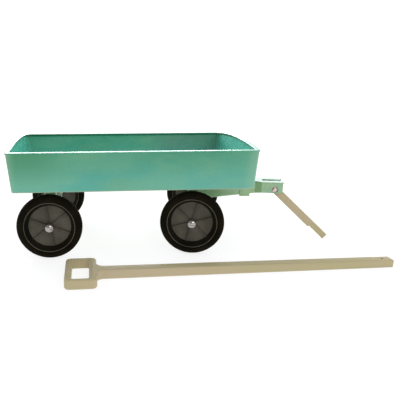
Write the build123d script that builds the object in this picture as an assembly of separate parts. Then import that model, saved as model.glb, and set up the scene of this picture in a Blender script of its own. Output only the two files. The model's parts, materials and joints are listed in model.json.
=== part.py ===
"""Pull-along garden cart with a turntable front axle and a separate pull handle.

+X is forward, +Y is the cart's left, +Z is up, and the ground is at Z = 0. Every piece is drawn in
the cart's own axes (rear axle at X = 0, mid-plane at Y = 0), and save_parts() moves the whole set so
that the origin lies on the ground under the middle of the bounding box.
"""
import os
from math import asin, atan2, cos, degrees, hypot, radians, sin, sqrt

from build123d import *

# ---- driving dimensions, mm and degrees ----
WHEEL_D = 162.0
WHEEL_W = 34.0
AXLE_D = 10.0
TRACK = 314.0                 # between the mid-planes of two wheels on one axle
WHEELBASE = 392.0
STEER_REST = -12.5            # the front axle stands turned towards the cart's right
FIT = 0.05                    # radial clearance of a running fit
GAP = 0.3                     # between faces that move past each other

RIM_LENGTH = 608.0
RIM_WIDTH = 370.0
RIM_Z = 268.0                 # height of the straight side rims
RIM_REAR_X = -94.5
RIM_FLANGE = 1.4              # how far the rim stands out from the wall
RIM_LEDGE = 10.5              # whole width of the rim, most of it inside the wall
RIM_THICK = 3.6
ARCH_RISE = 12.3              # the end walls rise by this much at mid-width
FLOOR_Z = 171.2               # underside of the tub
FLOOR_THICK = 4.0
WALL = 3.2
REAR_FLARE = 8.0              # each wall leans out by this much between floor and rim
FRONT_FLARE = 5.2
SIDE_FLARE = 6.8
CORNER_R = 7.0
ARCH_MARGIN = 5.0             # the rim's curved sheet is cut from one this much larger
BOSS_H = 1.0                  # raised pads under the bolt heads in the tub

BOLSTER_HALF = 112.0          # half the length of a bolster beam
BOLSTER_W = 26.5
FOOT_HALF_X = 36.0            # wide foot of the rear bolster
FOOT_HALF_Y = 95.0
FOOT_T = 6.0
STRAP_W = 12.0
STRAP_T = 1.6
STRAP_TOP_Z = 158.6
STRAP_SCREW_Z = (102.6, 142.6)
STRAP_SCREW_L = 12.0

PLATE_R = 48.0                # turntable
PLATE_T = 4.0
SLIP_R = 34.0                 # nylon washer under the plate
SLIP_T = 2.5
NUT_Z = 116.6                 # ceiling of the kingpin nut's window in the front bolster
WINDOW_LOW_Z = 94.6
WINDOW_HALF = 13.0
NOTCH_Z = 133.6               # floor of the notch that holds the steering arm

ARM_HALF_W = 18.0             # steering arm
ARM_REAR = -26.0              # distances along the drawbar, from the kingpin
ARM_ROOT_Z = 105.6            # underside of the arm at the bolster
ARM_TIP_Z = 126.6             # and at the arm's front end
BAND_REAR = 129.0
BAND_FRONT = 156.0
BAND_LOW_Z = 118.6
BAND_TOP_Z = 152.6
BAND_PROUD = 1.5

SHANK_REAR = 84.0             # the fork's shank inside the arm
SHANK_HALF = 9.0
SHANK_LOW_Z = 133.6
SHANK_TOP_Z = 155.6
FORK_HALF_W = 28.0
FORK_TOP_Z = 162.6
FORK_LOW_Z = 132.6
NECK_HALF_W = 16.0            # fork's neck, narrow up to here
NECK_FRONT = 170.0
NECK_LOW_Z = 128.8
FORK_REAR = 186.0
FORK_FRONT = 242.0
SLOT_REAR = 190.0
LIP = 1.6                     # the fork's top edge stands out by this much
LIP_H = 2.4
FORK_SCREW_S = (96.0, 118.0)
FORK_SCREW_Z = 144.6
PIVOT_S = 221.0               # tongue pivot
PIVOT_Z = 142.2
PIVOT_D = 8.0
SINK_R = 9.0                  # counterbores of the clevis bolt
SINK_DEPTH = 4.0

M6_NUT_H = 5.0
KINGPIN_NUT_H = 8.0
M6_R = 3.0                    # bolts, screws, washers and caps
SCREW_R = 2.0
CROSS_SCREW_R = 2.5
BOLT_HEAD_R = 7.0
PAN_HEAD_R = 4.2
WASHER_T = 1.2
THICK_WASHER_R = 15.0
THICK_WASHER_T = 2.0
LOCK_WASHER_T = 1.6
CAP_R = 10.3
CAP_H = 6.8
CAP_RIM = 2.6
AXLE_END = 5.6                # the axle stands out of the hub by this much, inside the cap

TONGUE_H = 20.0
TONGUE_W = 20.0
TONGUE_LENGTH = 200.7         # pivot to tip
TONGUE_REST = 1.5             # height of the tip over the ground when the tongue hangs down
SPIGOT_LENGTH = 56.0
SPIGOT_STEP = 4.2             # the spigot is this much thinner, on its underside
SPIGOT_CHEEK = 1.2            # and this much narrower on each side
TONGUE_BUSH_R = 6.0
SNAP_R = 3.0                  # snap hole of spigot and socket

HANDLE_LENGTH = 775.0
HANDLE_W = 26.5               # the bar's section where it leaves the grip
HANDLE_H = 22.0
HANDLE_END_W = 24.0           # and at its far end
HANDLE_END_H = 19.6
GRIP_LENGTH = 71.5
GRIP_WIDTH = 124.0
GRIP_H = 23.0
GRIP_END_BAR = 14.5           # the loop's outer bar, measured along the handle
GRIP_NECK_BAR = 17.5          # the bar that the long shaft grows from
GRIP_SIDE_BAR = 11.0          # and its two long ones
GRIP_CORNER_R = 12.0
GRIP_EDGE_R = 4.0
GRIP_HOLE_R = 5.0
HANDLE_X = 42.0               # outer end of the grip
HANDLE_Y = -287.6
HANDLE_TURN = 0.7             # the handle lies this far out of line with the cart
SOCKET_DEPTH = 58.0
SOCKET_SLACK = 0.25
NECK_LENGTH = 17.0
NECK_ROOT = 4.0               # the neck starts this far inside the grip
NECK_SPREAD = 13.0            # and is this much wider there, on each side
SHAFT_EDGE_R = 2.5
PAD_LENGTH = 42.0              # shallow flat on top of the shaft's far end
PAD_DEPTH = 1.0
SNAP_SETBACK = 22.0            # snap hole, from the end of spigot and shaft

RIBS = 6
RIB_HALF_T = 1.2
RIB_HALF = 7.5
WEB_R = 52.3                  # the recessed web meets the conical barrel here
WEB_SHIFT = 6.0               # the web lies this far inboard of the wheel's mid-plane
HALF_WEB = 1.9
BEAD_R = 63.6
BEAD_HALF = 13.2              # half the width over the two bead rings
BEAD_RING = 2.5               # width of a bead ring outside the tyre's seat
SEAT_R = 60.0
HUB_R = 9.6
BUSH_R = 6.5
TREAD_HALF = 2.5              # half the flat part of the tread
CHEEK_R = 68.5                # the tyre is widest here
WHEEL_TURNS = {"rear_right": 21.0, "rear_left": 35.0, "front_right": -15.5, "front_left": 11.0}

# ---- worked out from those ----
AXLE_Z = WHEEL_D / 2
HUB_HALF = WHEEL_W / 2 - 2             # the hub ends just inside the tyre's cheeks
HUB_OUTER = TRACK / 2 + HUB_HALF
HEAD_Z = FLOOR_Z + FLOOR_THICK + BOSS_H  # bolt heads stand on the tub's raised pads
TURNTABLE_LOW = FLOOR_Z - PLATE_T      # underside of the fixed plate
WASHER_TOP = TURNTABLE_LOW - GAP
ARM_TOP_Z = WASHER_TOP - SLIP_T
LOCK_TOP_Z = NUT_Z - GAP               # washer and nut under the front bolster's ceiling
SPIGOT_H = TONGUE_H - SPIGOT_STEP
TIP_LOW = TONGUE_H / 2 - SPIGOT_STEP   # tip's lower edge below the tongue's centre line
TONGUE_DROP = degrees(
    asin((PIVOT_Z - TONGUE_REST) / hypot(TONGUE_LENGTH, TIP_LOW)) - atan2(TIP_LOW, TONGUE_LENGTH)
)

STEER = Location((WHEELBASE, 0, 0), (0, 0, STEER_REST))
TONGUE_AT = STEER * Location((PIVOT_S, 0, PIVOT_Z), (0, TONGUE_DROP, 0))
HANDLE_AT = Location((HANDLE_X, HANDLE_Y, 0), (0, 0, HANDLE_TURN))

parts = {}


# ---- small helpers ----
def block(x0, x1, y0, y1, z0, z1):
    """A box given by its limits."""
    return Pos((x0 + x1) / 2, (y0 + y1) / 2, (z0 + z1) / 2) * Box(x1 - x0, y1 - y0, z1 - z0)


def rod(radius, start, end, axis="Z", at=(0, 0)):
    """A cylinder along an axis, from start to end, at the two other coordinates."""
    cylinder = Cylinder(radius, end - start)
    middle = (start + end) / 2
    if axis == "Z":
        return Pos(at[0], at[1], middle) * cylinder
    if axis == "Y":
        return Pos(at[0], middle, at[1]) * Rot(90, 0, 0) * cylinder
    return Pos(middle, at[0], at[1]) * Rot(0, 90, 0) * cylinder


def tube(outer, inner, start, end, axis="Z", at=(0, 0)):
    """A ring: one cylinder with a bore."""
    return rod(outer, start, end, axis, at) - rod(inner, start - 1, end + 1, axis, at)


def side_profile(points, half_width):
    """A plate whose outline lies in the X-Z plane, centred on Y = 0."""
    outline = make_face(Polyline(*[(x, z) for x, z in points], close=True))
    return Pos(0, half_width, 0) * Rot(90, 0, 0) * extrude(outline, 2 * half_width)


def lathe_y(points):
    """A solid of revolution about Y, from an outline of (radius, y) points."""
    outline = make_face(Polyline(*[(r, y) for r, y in points], close=True))
    return revolve(outline, Axis.Y)


def tilted_rect(x0, x1, half_y, z):
    """A horizontal rectangle at height z."""
    return Pos((x0 + x1) / 2, 0, z) * Rectangle(x1 - x0, 2 * half_y)


def rounded_walls(solid, radius):
    """Round the four upright corner edges of a wall block."""
    upright = [e for e in solid.edges() if abs((e @ 1 - e @ 0).Z) > 0.8 * e.length]
    return fillet(upright, radius)


def hex_prism(across, start, end, axis="Z", at=(0, 0)):
    """A hexagonal prism along Z or Y."""
    prism = extrude(RegularPolygon(across / sqrt(3), 6), end - start)
    if axis == "Z":
        return Pos(at[0], at[1], start) * prism
    return Pos(at[0], end, at[1]) * Rot(90, 0, 0) * prism


def dome(radius, height, rim):
    """A low domed head standing on Z = 0: a short cylinder under a spherical cap."""
    cap_h = height - rim
    sphere_r = (radius**2 + cap_h**2) / (2 * cap_h)
    cap = Pos(0, 0, height - sphere_r) * Sphere(sphere_r)
    return cap & rod(radius, 0, height + 1)


# ---- the tub ----
def tub_walls(inset, low_z, high_z):
    """The leaning wall block, drawn in from the outer faces by inset, from low_z to high_z."""
    rise = RIM_Z - FLOOR_Z
    rear, front = RIM_REAR_X + RIM_FLANGE, RIM_REAR_X + RIM_LENGTH - RIM_FLANGE
    half = RIM_WIDTH / 2 - RIM_FLANGE

    def level(z):
        part = (RIM_Z - z) / rise
        return tilted_rect(
            rear + REAR_FLARE * part + inset,
            front - FRONT_FLARE * part - inset,
            half - SIDE_FLARE * part - inset,
            z,
        )

    return loft([level(low_z).face(), level(high_z).face()])


def arch_z(y):
    """Height of the rim's top at a distance from the mid-plane: an arc over the whole width."""
    half = RIM_WIDTH / 2
    arc_r = (half**2 + ARCH_RISE**2) / (2 * ARCH_RISE)
    return RIM_Z + ARCH_RISE - arc_r + sqrt(arc_r**2 - y**2)


def arch_band(thickness):
    """The curved sheet that every rim follows, level along the length and wider than the tub."""
    half = RIM_WIDTH / 2 + ARCH_MARGIN
    edge_z, peak = arch_z(half), RIM_Z + ARCH_RISE
    top = ThreePointArc((-half, edge_z), (0, peak), (half, edge_z))
    low = ThreePointArc(
        (half, edge_z - thickness), (0, peak - thickness), (-half, edge_z - thickness)
    )
    face = make_face([top, Line(top @ 1, low @ 0), low, Line(low @ 1, top @ 0)])
    return extrude(Plane.YZ.offset(RIM_REAR_X - ARCH_MARGIN) * face, RIM_LENGTH + 2 * ARCH_MARGIN)


def make_tub():
    """One moulding: floor, four leaning walls and the rim that arches over the two ends."""
    peak = RIM_Z + ARCH_RISE
    outer = rounded_walls(tub_walls(0, FLOOR_Z, peak + 1), CORNER_R)
    inner = rounded_walls(tub_walls(WALL, FLOOR_Z + FLOOR_THICK, peak + 2), CORNER_R - 2)
    under_arch = arch_band(peak - FLOOR_Z + 20)
    frame = block(
        RIM_REAR_X, RIM_REAR_X + RIM_LENGTH, -RIM_WIDTH / 2, RIM_WIDTH / 2, RIM_Z - 10, peak + 5
    )
    rim = rounded_walls(frame, CORNER_R + 1) & arch_band(RIM_THICK)
    mouth = block(
        RIM_REAR_X + RIM_LEDGE, RIM_REAR_X + RIM_LENGTH - RIM_LEDGE,
        -RIM_WIDTH / 2 + RIM_LEDGE, RIM_WIDTH / 2 - RIM_LEDGE, RIM_Z - 20, peak + 9,
    )
    shell = (outer & under_arch) - inner + (rim - rounded_walls(mouth, CORNER_R - 2))
    holes = []
    for place, radius, head_r in floor_fasteners():
        shell += rod(head_r + 2.0, FLOOR_Z + 1, HEAD_Z, at=place)
        holes.append(rod(radius, FLOOR_Z - 1, HEAD_Z + 1, at=place))
    return shell - holes


def floor_fasteners():
    """Place, bolt radius and head radius of everything bolted through the tub's floor."""
    rear = [(place, M6_R, BOLT_HEAD_R) for place in rear_bolt_places()]
    screws = [(place, SCREW_R, PAN_HEAD_R) for place in turntable_screw_places()]
    return [*rear, *screws, ((WHEELBASE, 0), AXLE_D / 2, THICK_WASHER_R)]


# ---- axle sets: bolster, axle, straps, spacers, caps; drawn about the axle, X across the beam ----
def rear_bolt_places():
    """Four bolts near the corners of the rear bolster's foot."""
    reach_x, reach_y = FOOT_HALF_X - 12, FOOT_HALF_Y - 15
    return [(x, y) for x in (-reach_x, reach_x) for y in (-reach_y, reach_y)]


def turntable_screw_places():
    reach = PLATE_R - 12
    turns = [radians(45 + 90 * i) for i in range(4)]
    return [(WHEELBASE + reach * cos(a), reach * sin(a)) for a in turns]


def strap_stations():
    return [-(BOLSTER_HALF - STRAP_W), BOLSTER_HALF - STRAP_W]


def make_bolster(top_z):
    """A moulded beam with coring from below and a half-round groove for the axle."""
    beam = block(-BOLSTER_W / 2, BOLSTER_W / 2, -BOLSTER_HALF, BOLSTER_HALF, AXLE_Z, top_z)
    beam = fillet(beam.edges().filter_by(Axis.Z), 2.5)
    return beam - rod(AXLE_D / 2, -BOLSTER_HALF - 1, BOLSTER_HALF + 1, "Y", (0, AXLE_Z))


def make_straps():
    """Two steel straps: under the axle and up both sides of the bolster."""
    solids = []
    inner = BOLSTER_W / 2
    for y in strap_stations():
        y0, y1 = y - STRAP_W / 2, y + STRAP_W / 2
        outer_u = block(-inner - STRAP_T, inner + STRAP_T, y0, y1, AXLE_Z - STRAP_T, STRAP_TOP_Z)
        outer_u -= block(-inner, inner, y0 - 1, y1 + 1, AXLE_Z, STRAP_TOP_Z + 1)
        outer_u += rod(AXLE_D / 2 + STRAP_T, y0, y1, "Y", (0, AXLE_Z)) & block(
            -inner, inner, y0, y1, 0, AXLE_Z
        )
        outer_u -= rod(AXLE_D / 2, y0 - 1, y1 + 1, "Y", (0, AXLE_Z))
        outer_u -= block(-inner, inner, y0 - 1, y1 + 1, AXLE_Z, STRAP_TOP_Z + 1)
        solids.append(outer_u - strap_screw_holes(y))
    return solids


def strap_screw_holes(y):
    return [rod(SCREW_R, -BOLSTER_W, BOLSTER_W, "X", (y, z)) for z in STRAP_SCREW_Z]


def make_strap_screws():
    """Four pan-head screws per strap, driven in from the two sides."""
    solids = []
    face = BOLSTER_W / 2 + STRAP_T
    screw = dome(4.0, 2.4, 0.8) + rod(SCREW_R, -STRAP_SCREW_L, 0)
    for y in strap_stations():
        for z in STRAP_SCREW_Z:
            solids.append(Pos(face, y, z) * Rot(0, 90, 0) * screw)
            solids.append(Pos(-face, y, z) * Rot(0, -90, 0) * screw)
    return solids


def cut_screw_bores(beam):
    """Blind bores for the strap screws in both sides of a bolster."""
    face = BOLSTER_W / 2
    floor = face + STRAP_T - STRAP_SCREW_L
    for y in strap_stations():
        for z in STRAP_SCREW_Z:
            beam -= rod(SCREW_R, -face - 1, -floor, "X", (y, z))
            beam -= rod(SCREW_R, floor, face + 1, "X", (y, z))
    return beam


def both_sides(shape_for):
    """The same piece on the right and the left end of an axle."""
    return [shape_for(-1), shape_for(1)]


def make_axle():
    half = HUB_OUTER + AXLE_END
    return chamfer(rod(AXLE_D / 2, -half, half, "Y", (0, AXLE_Z)).edges(), 0.6)


def axle_spacer(side):
    near, far = BOLSTER_HALF, TRACK / 2 - HUB_HALF - GAP
    ring = tube(8.0, AXLE_D / 2, near, far, "Y", (0, AXLE_Z))
    return ring if side > 0 else mirror(ring, Plane.XZ)


def axle_washer(side):
    near = HUB_OUTER + GAP
    ring = tube(9.0, AXLE_D / 2, near, near + WASHER_T, "Y", (0, AXLE_Z))
    return ring if side > 0 else mirror(ring, Plane.XZ)


def axle_cap(side):
    """A domed push cap pressed over the axle's end."""
    near = HUB_OUTER + GAP + WASHER_T
    blind = rod(AXLE_D / 2, -1, HUB_OUTER + AXLE_END - near)
    cap = dome(CAP_R, CAP_H, CAP_RIM) - blind
    cap = Pos(0, near, AXLE_Z) * Rot(-90, 0, 0) * cap
    return cap if side > 0 else mirror(cap, Plane.XZ)


def add_axle_set(name, place):
    """Axle, straps, screws, spacers, washers and caps of one axle."""
    group = {
        f"{name}_axle": make_axle(),
        f"{name}_axle_straps": make_straps(),
        f"{name}_strap_screws": make_strap_screws(),
        f"{name}_axle_spacers": both_sides(axle_spacer),
        f"{name}_axle_washers": both_sides(axle_washer),
        f"{name}_axle_caps": both_sides(axle_cap),
    }
    for node, shape in group.items():
        add(node, shape, place)


def make_rear_bolster():
    """The rear beam has a wide foot that bolts to the underside of the tub."""
    beam = cut_screw_bores(make_bolster(FLOOR_Z))
    foot = block(-FOOT_HALF_X, FOOT_HALF_X, -FOOT_HALF_Y, FOOT_HALF_Y, FLOOR_Z - FOOT_T, FLOOR_Z)
    foot = fillet(foot.edges().filter_by(Axis.Z), 8)
    low, high = FLOOR_Z - FOOT_T - 1, FLOOR_Z + 1
    return beam + foot - [rod(M6_R, low, high, at=p) for p in rear_bolt_places()]


def make_rear_bolts():
    """M6 bolts through tub and foot, long enough for their nuts."""
    length = HEAD_Z - FLOOR_Z + FOOT_T + M6_NUT_H + 2.0
    bolt = dome(BOLT_HEAD_R, 3.6, 0.8) + rod(M6_R, -length, 0)
    return [Pos(x, y, HEAD_Z) * bolt for x, y in rear_bolt_places()]


def make_rear_nuts():
    top = FLOOR_Z - FOOT_T
    low = top - M6_NUT_H
    bore = [rod(M6_R, low - 1, top + 1, at=p) for p in rear_bolt_places()]
    blanks = [hex_prism(10, low, top, at=p) for p in rear_bolt_places()]
    return [blank - hole for blank, hole in zip(blanks, bore)]


# ---- turntable and kingpin ----
def make_turntable_plate():
    plate = rod(PLATE_R, TURNTABLE_LOW, FLOOR_Z, at=(WHEELBASE, 0))
    plate = fillet(plate.edges().sort_by(Axis.Z)[0], 1.5)
    low, high = TURNTABLE_LOW - 1, FLOOR_Z + 1
    plate -= rod(AXLE_D / 2, low, high, at=(WHEELBASE, 0))
    return plate - [rod(SCREW_R, low, high, at=p) for p in turntable_screw_places()]


def make_turntable_screws():
    """Short pan-head screws that end inside the steel plate."""
    length = HEAD_Z - FLOOR_Z + PLATE_T - 1.0
    screw = dome(PAN_HEAD_R, 2.6, 0.8) + rod(SCREW_R, -length, 0)
    return [Pos(x, y, HEAD_Z) * screw for x, y in turntable_screw_places()]


def make_kingpin():
    top = HEAD_Z + THICK_WASHER_T
    low = LOCK_TOP_Z - LOCK_WASHER_T - KINGPIN_NUT_H - 1.0
    bolt = rod(AXLE_D / 2, low, top, at=(WHEELBASE, 0))
    return bolt + Pos(WHEELBASE, 0, top) * dome(11.0, 6.0, 1.4)


def make_kingpin_washers():
    at = (WHEELBASE, 0)
    bore = AXLE_D / 2
    return [
        tube(THICK_WASHER_R, bore, HEAD_Z, HEAD_Z + THICK_WASHER_T, at=at),
        tube(10.5, bore, LOCK_TOP_Z - LOCK_WASHER_T, LOCK_TOP_Z, at=at),
    ]


def make_kingpin_nut():
    at = (WHEELBASE, 0)
    top = LOCK_TOP_Z - LOCK_WASHER_T
    low = top - KINGPIN_NUT_H
    return hex_prism(17, low, top, at=at) - rod(AXLE_D / 2, low - 1, top + 1, at=at)


def make_front_bolster():
    """The front beam is notched for the steering arm and has a window for the kingpin's nut."""
    beam = cut_screw_bores(make_bolster(ARM_TOP_Z))
    beam -= block(-BOLSTER_W, BOLSTER_W, -ARM_HALF_W, ARM_HALF_W, NOTCH_Z, ARM_TOP_Z + 1)
    beam -= block(-BOLSTER_W, BOLSTER_W, -WINDOW_HALF, WINDOW_HALF, WINDOW_LOW_Z, NUT_Z)
    return beam - rod(AXLE_D / 2 + FIT, NUT_Z - 1, NOTCH_Z + 1)


def make_turntable_washer():
    return tube(SLIP_R, AXLE_D / 2 + FIT, ARM_TOP_Z, WASHER_TOP)


# ---- drawbar: the steering arm and the fork plugged into it ----
def make_steering_arm():
    """The rear half of the drawbar: deep at the kingpin, rising forward, with a band at its end."""
    face = BOLSTER_W / 2
    outline = [
        (ARM_REAR, NOTCH_Z), (face, NOTCH_Z), (face, ARM_ROOT_Z), (BAND_FRONT, ARM_TIP_Z),
        (BAND_FRONT, ARM_TOP_Z), (ARM_REAR, ARM_TOP_Z),
    ]
    arm = fillet(side_profile(outline, ARM_HALF_W).edges().filter_by(Axis.X), 2.0)
    band = [
        (BAND_REAR, BAND_LOW_Z), (BAND_FRONT, BAND_LOW_Z + 1), (BAND_FRONT, BAND_TOP_Z),
        (BAND_REAR, BAND_TOP_Z),
    ]
    arm += side_profile(band, ARM_HALF_W + BAND_PROUD)
    arm -= block(SHANK_REAR, BAND_FRONT + 1, -SHANK_HALF, SHANK_HALF, SHANK_LOW_Z, SHANK_TOP_Z)
    arm -= rod(AXLE_D / 2 + FIT, NOTCH_Z - 1, ARM_TOP_Z + 1)
    return arm - [fork_screw_bore(s) for s in FORK_SCREW_S]


def fork_screw_bore(s):
    return rod(CROSS_SCREW_R, -ARM_HALF_W - 1, ARM_HALF_W + 1, "Y", (s, FORK_SCREW_Z))


def fork_plan():
    """The fork from above: a narrow neck that widens to the two cheeks."""
    half = [
        (BAND_FRONT, NECK_HALF_W), (NECK_FRONT, NECK_HALF_W), (FORK_REAR, FORK_HALF_W),
        (FORK_FRONT, FORK_HALF_W),
    ]
    other = [(s, -y) for s, y in reversed(half)]
    return make_face(Polyline(*half, *other, close=True))


def make_fork():
    """The front half of the drawbar: a shank, a neck that widens, and two cheeks for the tongue."""
    outline = [
        (BAND_FRONT, ARM_TIP_Z), (NECK_FRONT, NECK_LOW_Z), (FORK_REAR, FORK_LOW_Z),
        (FORK_FRONT, FORK_LOW_Z), (FORK_FRONT, FORK_TOP_Z), (BAND_FRONT, FORK_TOP_Z),
    ]
    body = side_profile(outline, FORK_HALF_W) & extrude(fork_plan(), 2 * FORK_TOP_Z)
    lip = extrude(offset(fork_plan(), LIP, kind=Kind.INTERSECTION), LIP_H)
    lip = Pos(0, 0, FORK_TOP_Z - LIP_H) * lip
    body += lip & block(BAND_FRONT, FORK_FRONT + LIP, -SLIP_R, SLIP_R, 0, 2 * FORK_TOP_Z)
    body = fillet(body.edges().group_by(Axis.Z)[-1], 1.0)
    slot = TONGUE_W / 2 + GAP
    body -= block(SLOT_REAR, FORK_FRONT + 5, -slot, slot, FORK_LOW_Z - 1, FORK_TOP_Z + 1)
    body += block(
        SHANK_REAR + GAP, BAND_FRONT + 1, -SHANK_HALF, SHANK_HALF, SHANK_LOW_Z, SHANK_TOP_Z
    )
    at = (PIVOT_S, PIVOT_Z)
    sink = rod(SINK_R, FORK_HALF_W - SINK_DEPTH, FORK_HALF_W + 5, "Y", at)
    body -= [rod(PIVOT_D / 2, -2 * FORK_HALF_W, 2 * FORK_HALF_W, "Y", at), sink]
    body -= mirror(sink, Plane.XZ)
    return body - [fork_screw_bore(s) for s in FORK_SCREW_S]


def make_fork_screws():
    """Two cross screws hold the fork's shank in the arm."""
    screw = dome(4.6, 2.6, 0.8) + rod(CROSS_SCREW_R, -2 * ARM_HALF_W + 3, 0)
    return [Pos(s, -ARM_HALF_W, FORK_SCREW_Z) * Rot(90, 0, 0) * screw for s in FORK_SCREW_S]


def make_clevis_bolt():
    seat = FORK_HALF_W - SINK_DEPTH + WASHER_T
    shank = rod(PIVOT_D / 2, -seat, FORK_HALF_W + 4.5, "Y", (PIVOT_S, PIVOT_Z))
    return shank + Pos(PIVOT_S, -seat, PIVOT_Z) * Rot(90, 0, 0) * dome(BOLT_HEAD_R, 5.4, 1.6)


def make_clevis_washers():
    deep = FORK_HALF_W - SINK_DEPTH
    ring = tube(8.2, PIVOT_D / 2, deep, deep + WASHER_T, "Y", (PIVOT_S, PIVOT_Z))
    return [mirror(ring, Plane.XZ), ring]


def make_clevis_nut():
    start = FORK_HALF_W - SINK_DEPTH + WASHER_T
    end = start + 6.5
    at = (PIVOT_S, PIVOT_Z)
    return hex_prism(13, start, end, "Y", at) - rod(PIVOT_D / 2, start - 1, end + 1, "Y", at)


# ---- tongue and handle ----
def make_tongue():
    """A bar with a rounded eye at the pivot and a thinner spigot that takes the pull handle."""
    half = TONGUE_H / 2
    step = TONGUE_LENGTH - SPIGOT_LENGTH
    outline = [
        (0, -half), (step, -half), (step + 3, -half + SPIGOT_STEP), (TONGUE_LENGTH, -TIP_LOW),
        (TONGUE_LENGTH, half), (0, half),
    ]
    half_w = TONGUE_W / 2
    bar = fillet(side_profile(outline, half_w).edges().filter_by(Axis.X), 2.0)
    bar += rod(half, -half_w, half_w, "Y")
    cheek = block(
        step + 3, TONGUE_LENGTH + 1, half_w - SPIGOT_CHEEK, TONGUE_W, -TONGUE_H, TONGUE_H
    )
    bar -= [cheek, mirror(cheek, Plane.XZ)]
    bar -= rod(SNAP_R, -TONGUE_H, TONGUE_H, "Z", (TONGUE_LENGTH - SNAP_SETBACK, 0))
    return bar - rod(TONGUE_BUSH_R, -TONGUE_W, TONGUE_W, "Y")


def make_tongue_bush():
    half = TONGUE_W / 2
    return tube(TONGUE_BUSH_R, PIVOT_D / 2 + FIT, -half, half, "Y")


def make_grip():
    """A rectangular loop with rounded corners, big enough for a hand."""
    half = GRIP_WIDTH / 2
    loop = block(0, GRIP_LENGTH, -half, half, 0, GRIP_H)
    loop = fillet(loop.edges().filter_by(Axis.Z), GRIP_CORNER_R)
    flat = loop.edges().group_by(Axis.Z)
    loop = fillet(flat[0] + flat[-1], GRIP_EDGE_R)
    hole = block(
        GRIP_END_BAR, GRIP_LENGTH - GRIP_NECK_BAR,
        -half + GRIP_SIDE_BAR, half - GRIP_SIDE_BAR, -1, GRIP_H + 1,
    )
    return loop - fillet(hole.edges().filter_by(Axis.Z), GRIP_HOLE_R)


def make_shaft():
    """Neck and bar in one outline: two hollow curves, then a slight taper to the far end."""
    root, end = GRIP_LENGTH - NECK_ROOT, GRIP_LENGTH + NECK_LENGTH
    slim, tip = HANDLE_W / 2, HANDLE_END_W / 2
    taper = (slim - tip) / (HANDLE_LENGTH - end)
    left = TangentArc((end, slim), (root, slim + NECK_SPREAD), tangent=(-1, taper))
    right = TangentArc((end, -slim), (root, -slim - NECK_SPREAD), tangent=(-1, -taper))
    sides = Polyline(left @ 0, (HANDLE_LENGTH, tip), (HANDLE_LENGTH, -tip), right @ 0)
    plan = make_face([left, *sides.edges(), right, Line(left @ 1, right @ 1)])
    bar = extrude(plan, 2 * HANDLE_H)
    high = 3 * HANDLE_H
    wedge = [(root - 1, HANDLE_H), (HANDLE_LENGTH + 1, HANDLE_END_H), (HANDLE_LENGTH + 1, high),
             (root - 1, high)]
    bar -= side_profile(wedge, GRIP_WIDTH)
    long_edges = [e for e in bar.edges() if e.length > HANDLE_LENGTH / 2]
    return fillet(long_edges, SHAFT_EDGE_R)


def make_handle():
    """One moulding: grip loop, neck, long shaft, and a socket for the tongue in the far end."""
    top = HANDLE_END_H
    end = HANDLE_LENGTH
    pad = block(end - PAD_LENGTH, end + 1, -HANDLE_W, HANDLE_W, top - PAD_DEPTH, top + 9)
    low = (top - PAD_DEPTH - SPIGOT_H) / 2
    half_w = TONGUE_W / 2 - SPIGOT_CHEEK + SOCKET_SLACK
    socket = block(
        end - SOCKET_DEPTH, end + 1, -half_w, half_w,
        low - SOCKET_SLACK, low + SPIGOT_H + SOCKET_SLACK,
    )
    snap = rod(SNAP_R, top / 2, top + 5, at=(end - SNAP_SETBACK, 0))
    return make_grip() + make_shaft() - pad - socket - snap


# ---- wheels ----
def make_disc(side):
    """Hub, offset web with six ribs on both faces, conical barrel and two bead rings."""
    web = -side * WEB_SHIFT

    def flank(sign):
        level = web + sign * HALF_WEB
        bead = sign * BEAD_HALF
        return [
            (HUB_R, sign * HUB_HALF), (HUB_R, level), (WEB_R, level),
            (BEAD_R - 2.4, bead - sign * 0.8), (BEAD_R - 2.0, bead), (BEAD_R, bead),
            (BEAD_R, bead - sign * BEAD_RING), (SEAT_R, bead - sign * BEAD_RING),
        ]

    outline = [(BUSH_R, HUB_HALF)] + flank(1) + flank(-1)[::-1] + [(BUSH_R, -HUB_HALF)]
    disc = lathe_y(outline)
    rib = block(
        HUB_R - 1, WEB_R + 3.5, web - RIB_HALF, web + RIB_HALF, -RIB_HALF_T, RIB_HALF_T
    )
    for i in range(RIBS):
        disc += Rot(0, i * 360 / RIBS, 0) * rib
    return disc


def make_tyre():
    """A soft tyre with round shoulders that sits between the disc's bead rings."""
    crown = Line((WHEEL_D / 2, 0), (WHEEL_D / 2, TREAD_HALF))
    shoulder = TangentArc(crown @ 1, (CHEEK_R, WHEEL_W / 2), tangent=(0, 1))
    bead_edge = BEAD_HALF - BEAD_RING
    flank = Polyline(
        (CHEEK_R, WHEEL_W / 2), (BEAD_R + 1.0, BEAD_HALF + 0.6), (BEAD_R, BEAD_HALF - 0.4),
        (BEAD_R, bead_edge), (SEAT_R, bead_edge), (SEAT_R, 0),
    )
    seat = Line((SEAT_R, 0), (WHEEL_D / 2, 0))
    half = revolve(make_face([crown, shoulder, *flank.edges(), seat]), Axis.Y)
    return half + mirror(half, Plane.XZ)


def make_wheel_bush():
    return tube(BUSH_R, AXLE_D / 2 + FIT, -HUB_HALF, HUB_HALF, "Y")


def add_wheel(name, place, side):
    """Tyre, disc and bush of one wheel on the given end of an axle."""
    at = place * Location((0, side * TRACK / 2, AXLE_Z), (0, WHEEL_TURNS[name], 0))
    add(f"{name}_tyre", make_tyre(), at)
    add(f"{name}_disc", make_disc(side), at)
    add(f"{name}_bush", make_wheel_bush(), at)


# ---- assembly ----
def add(node, shape, place=None):
    """Put a piece, or a list of separate solids, into the model."""
    solids = list(shape) if isinstance(shape, (list, tuple)) else [shape]
    if place is not None:
        solids = [place * s for s in solids]
    parts[node] = solids[0] if len(solids) == 1 else Compound(solids)


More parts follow.
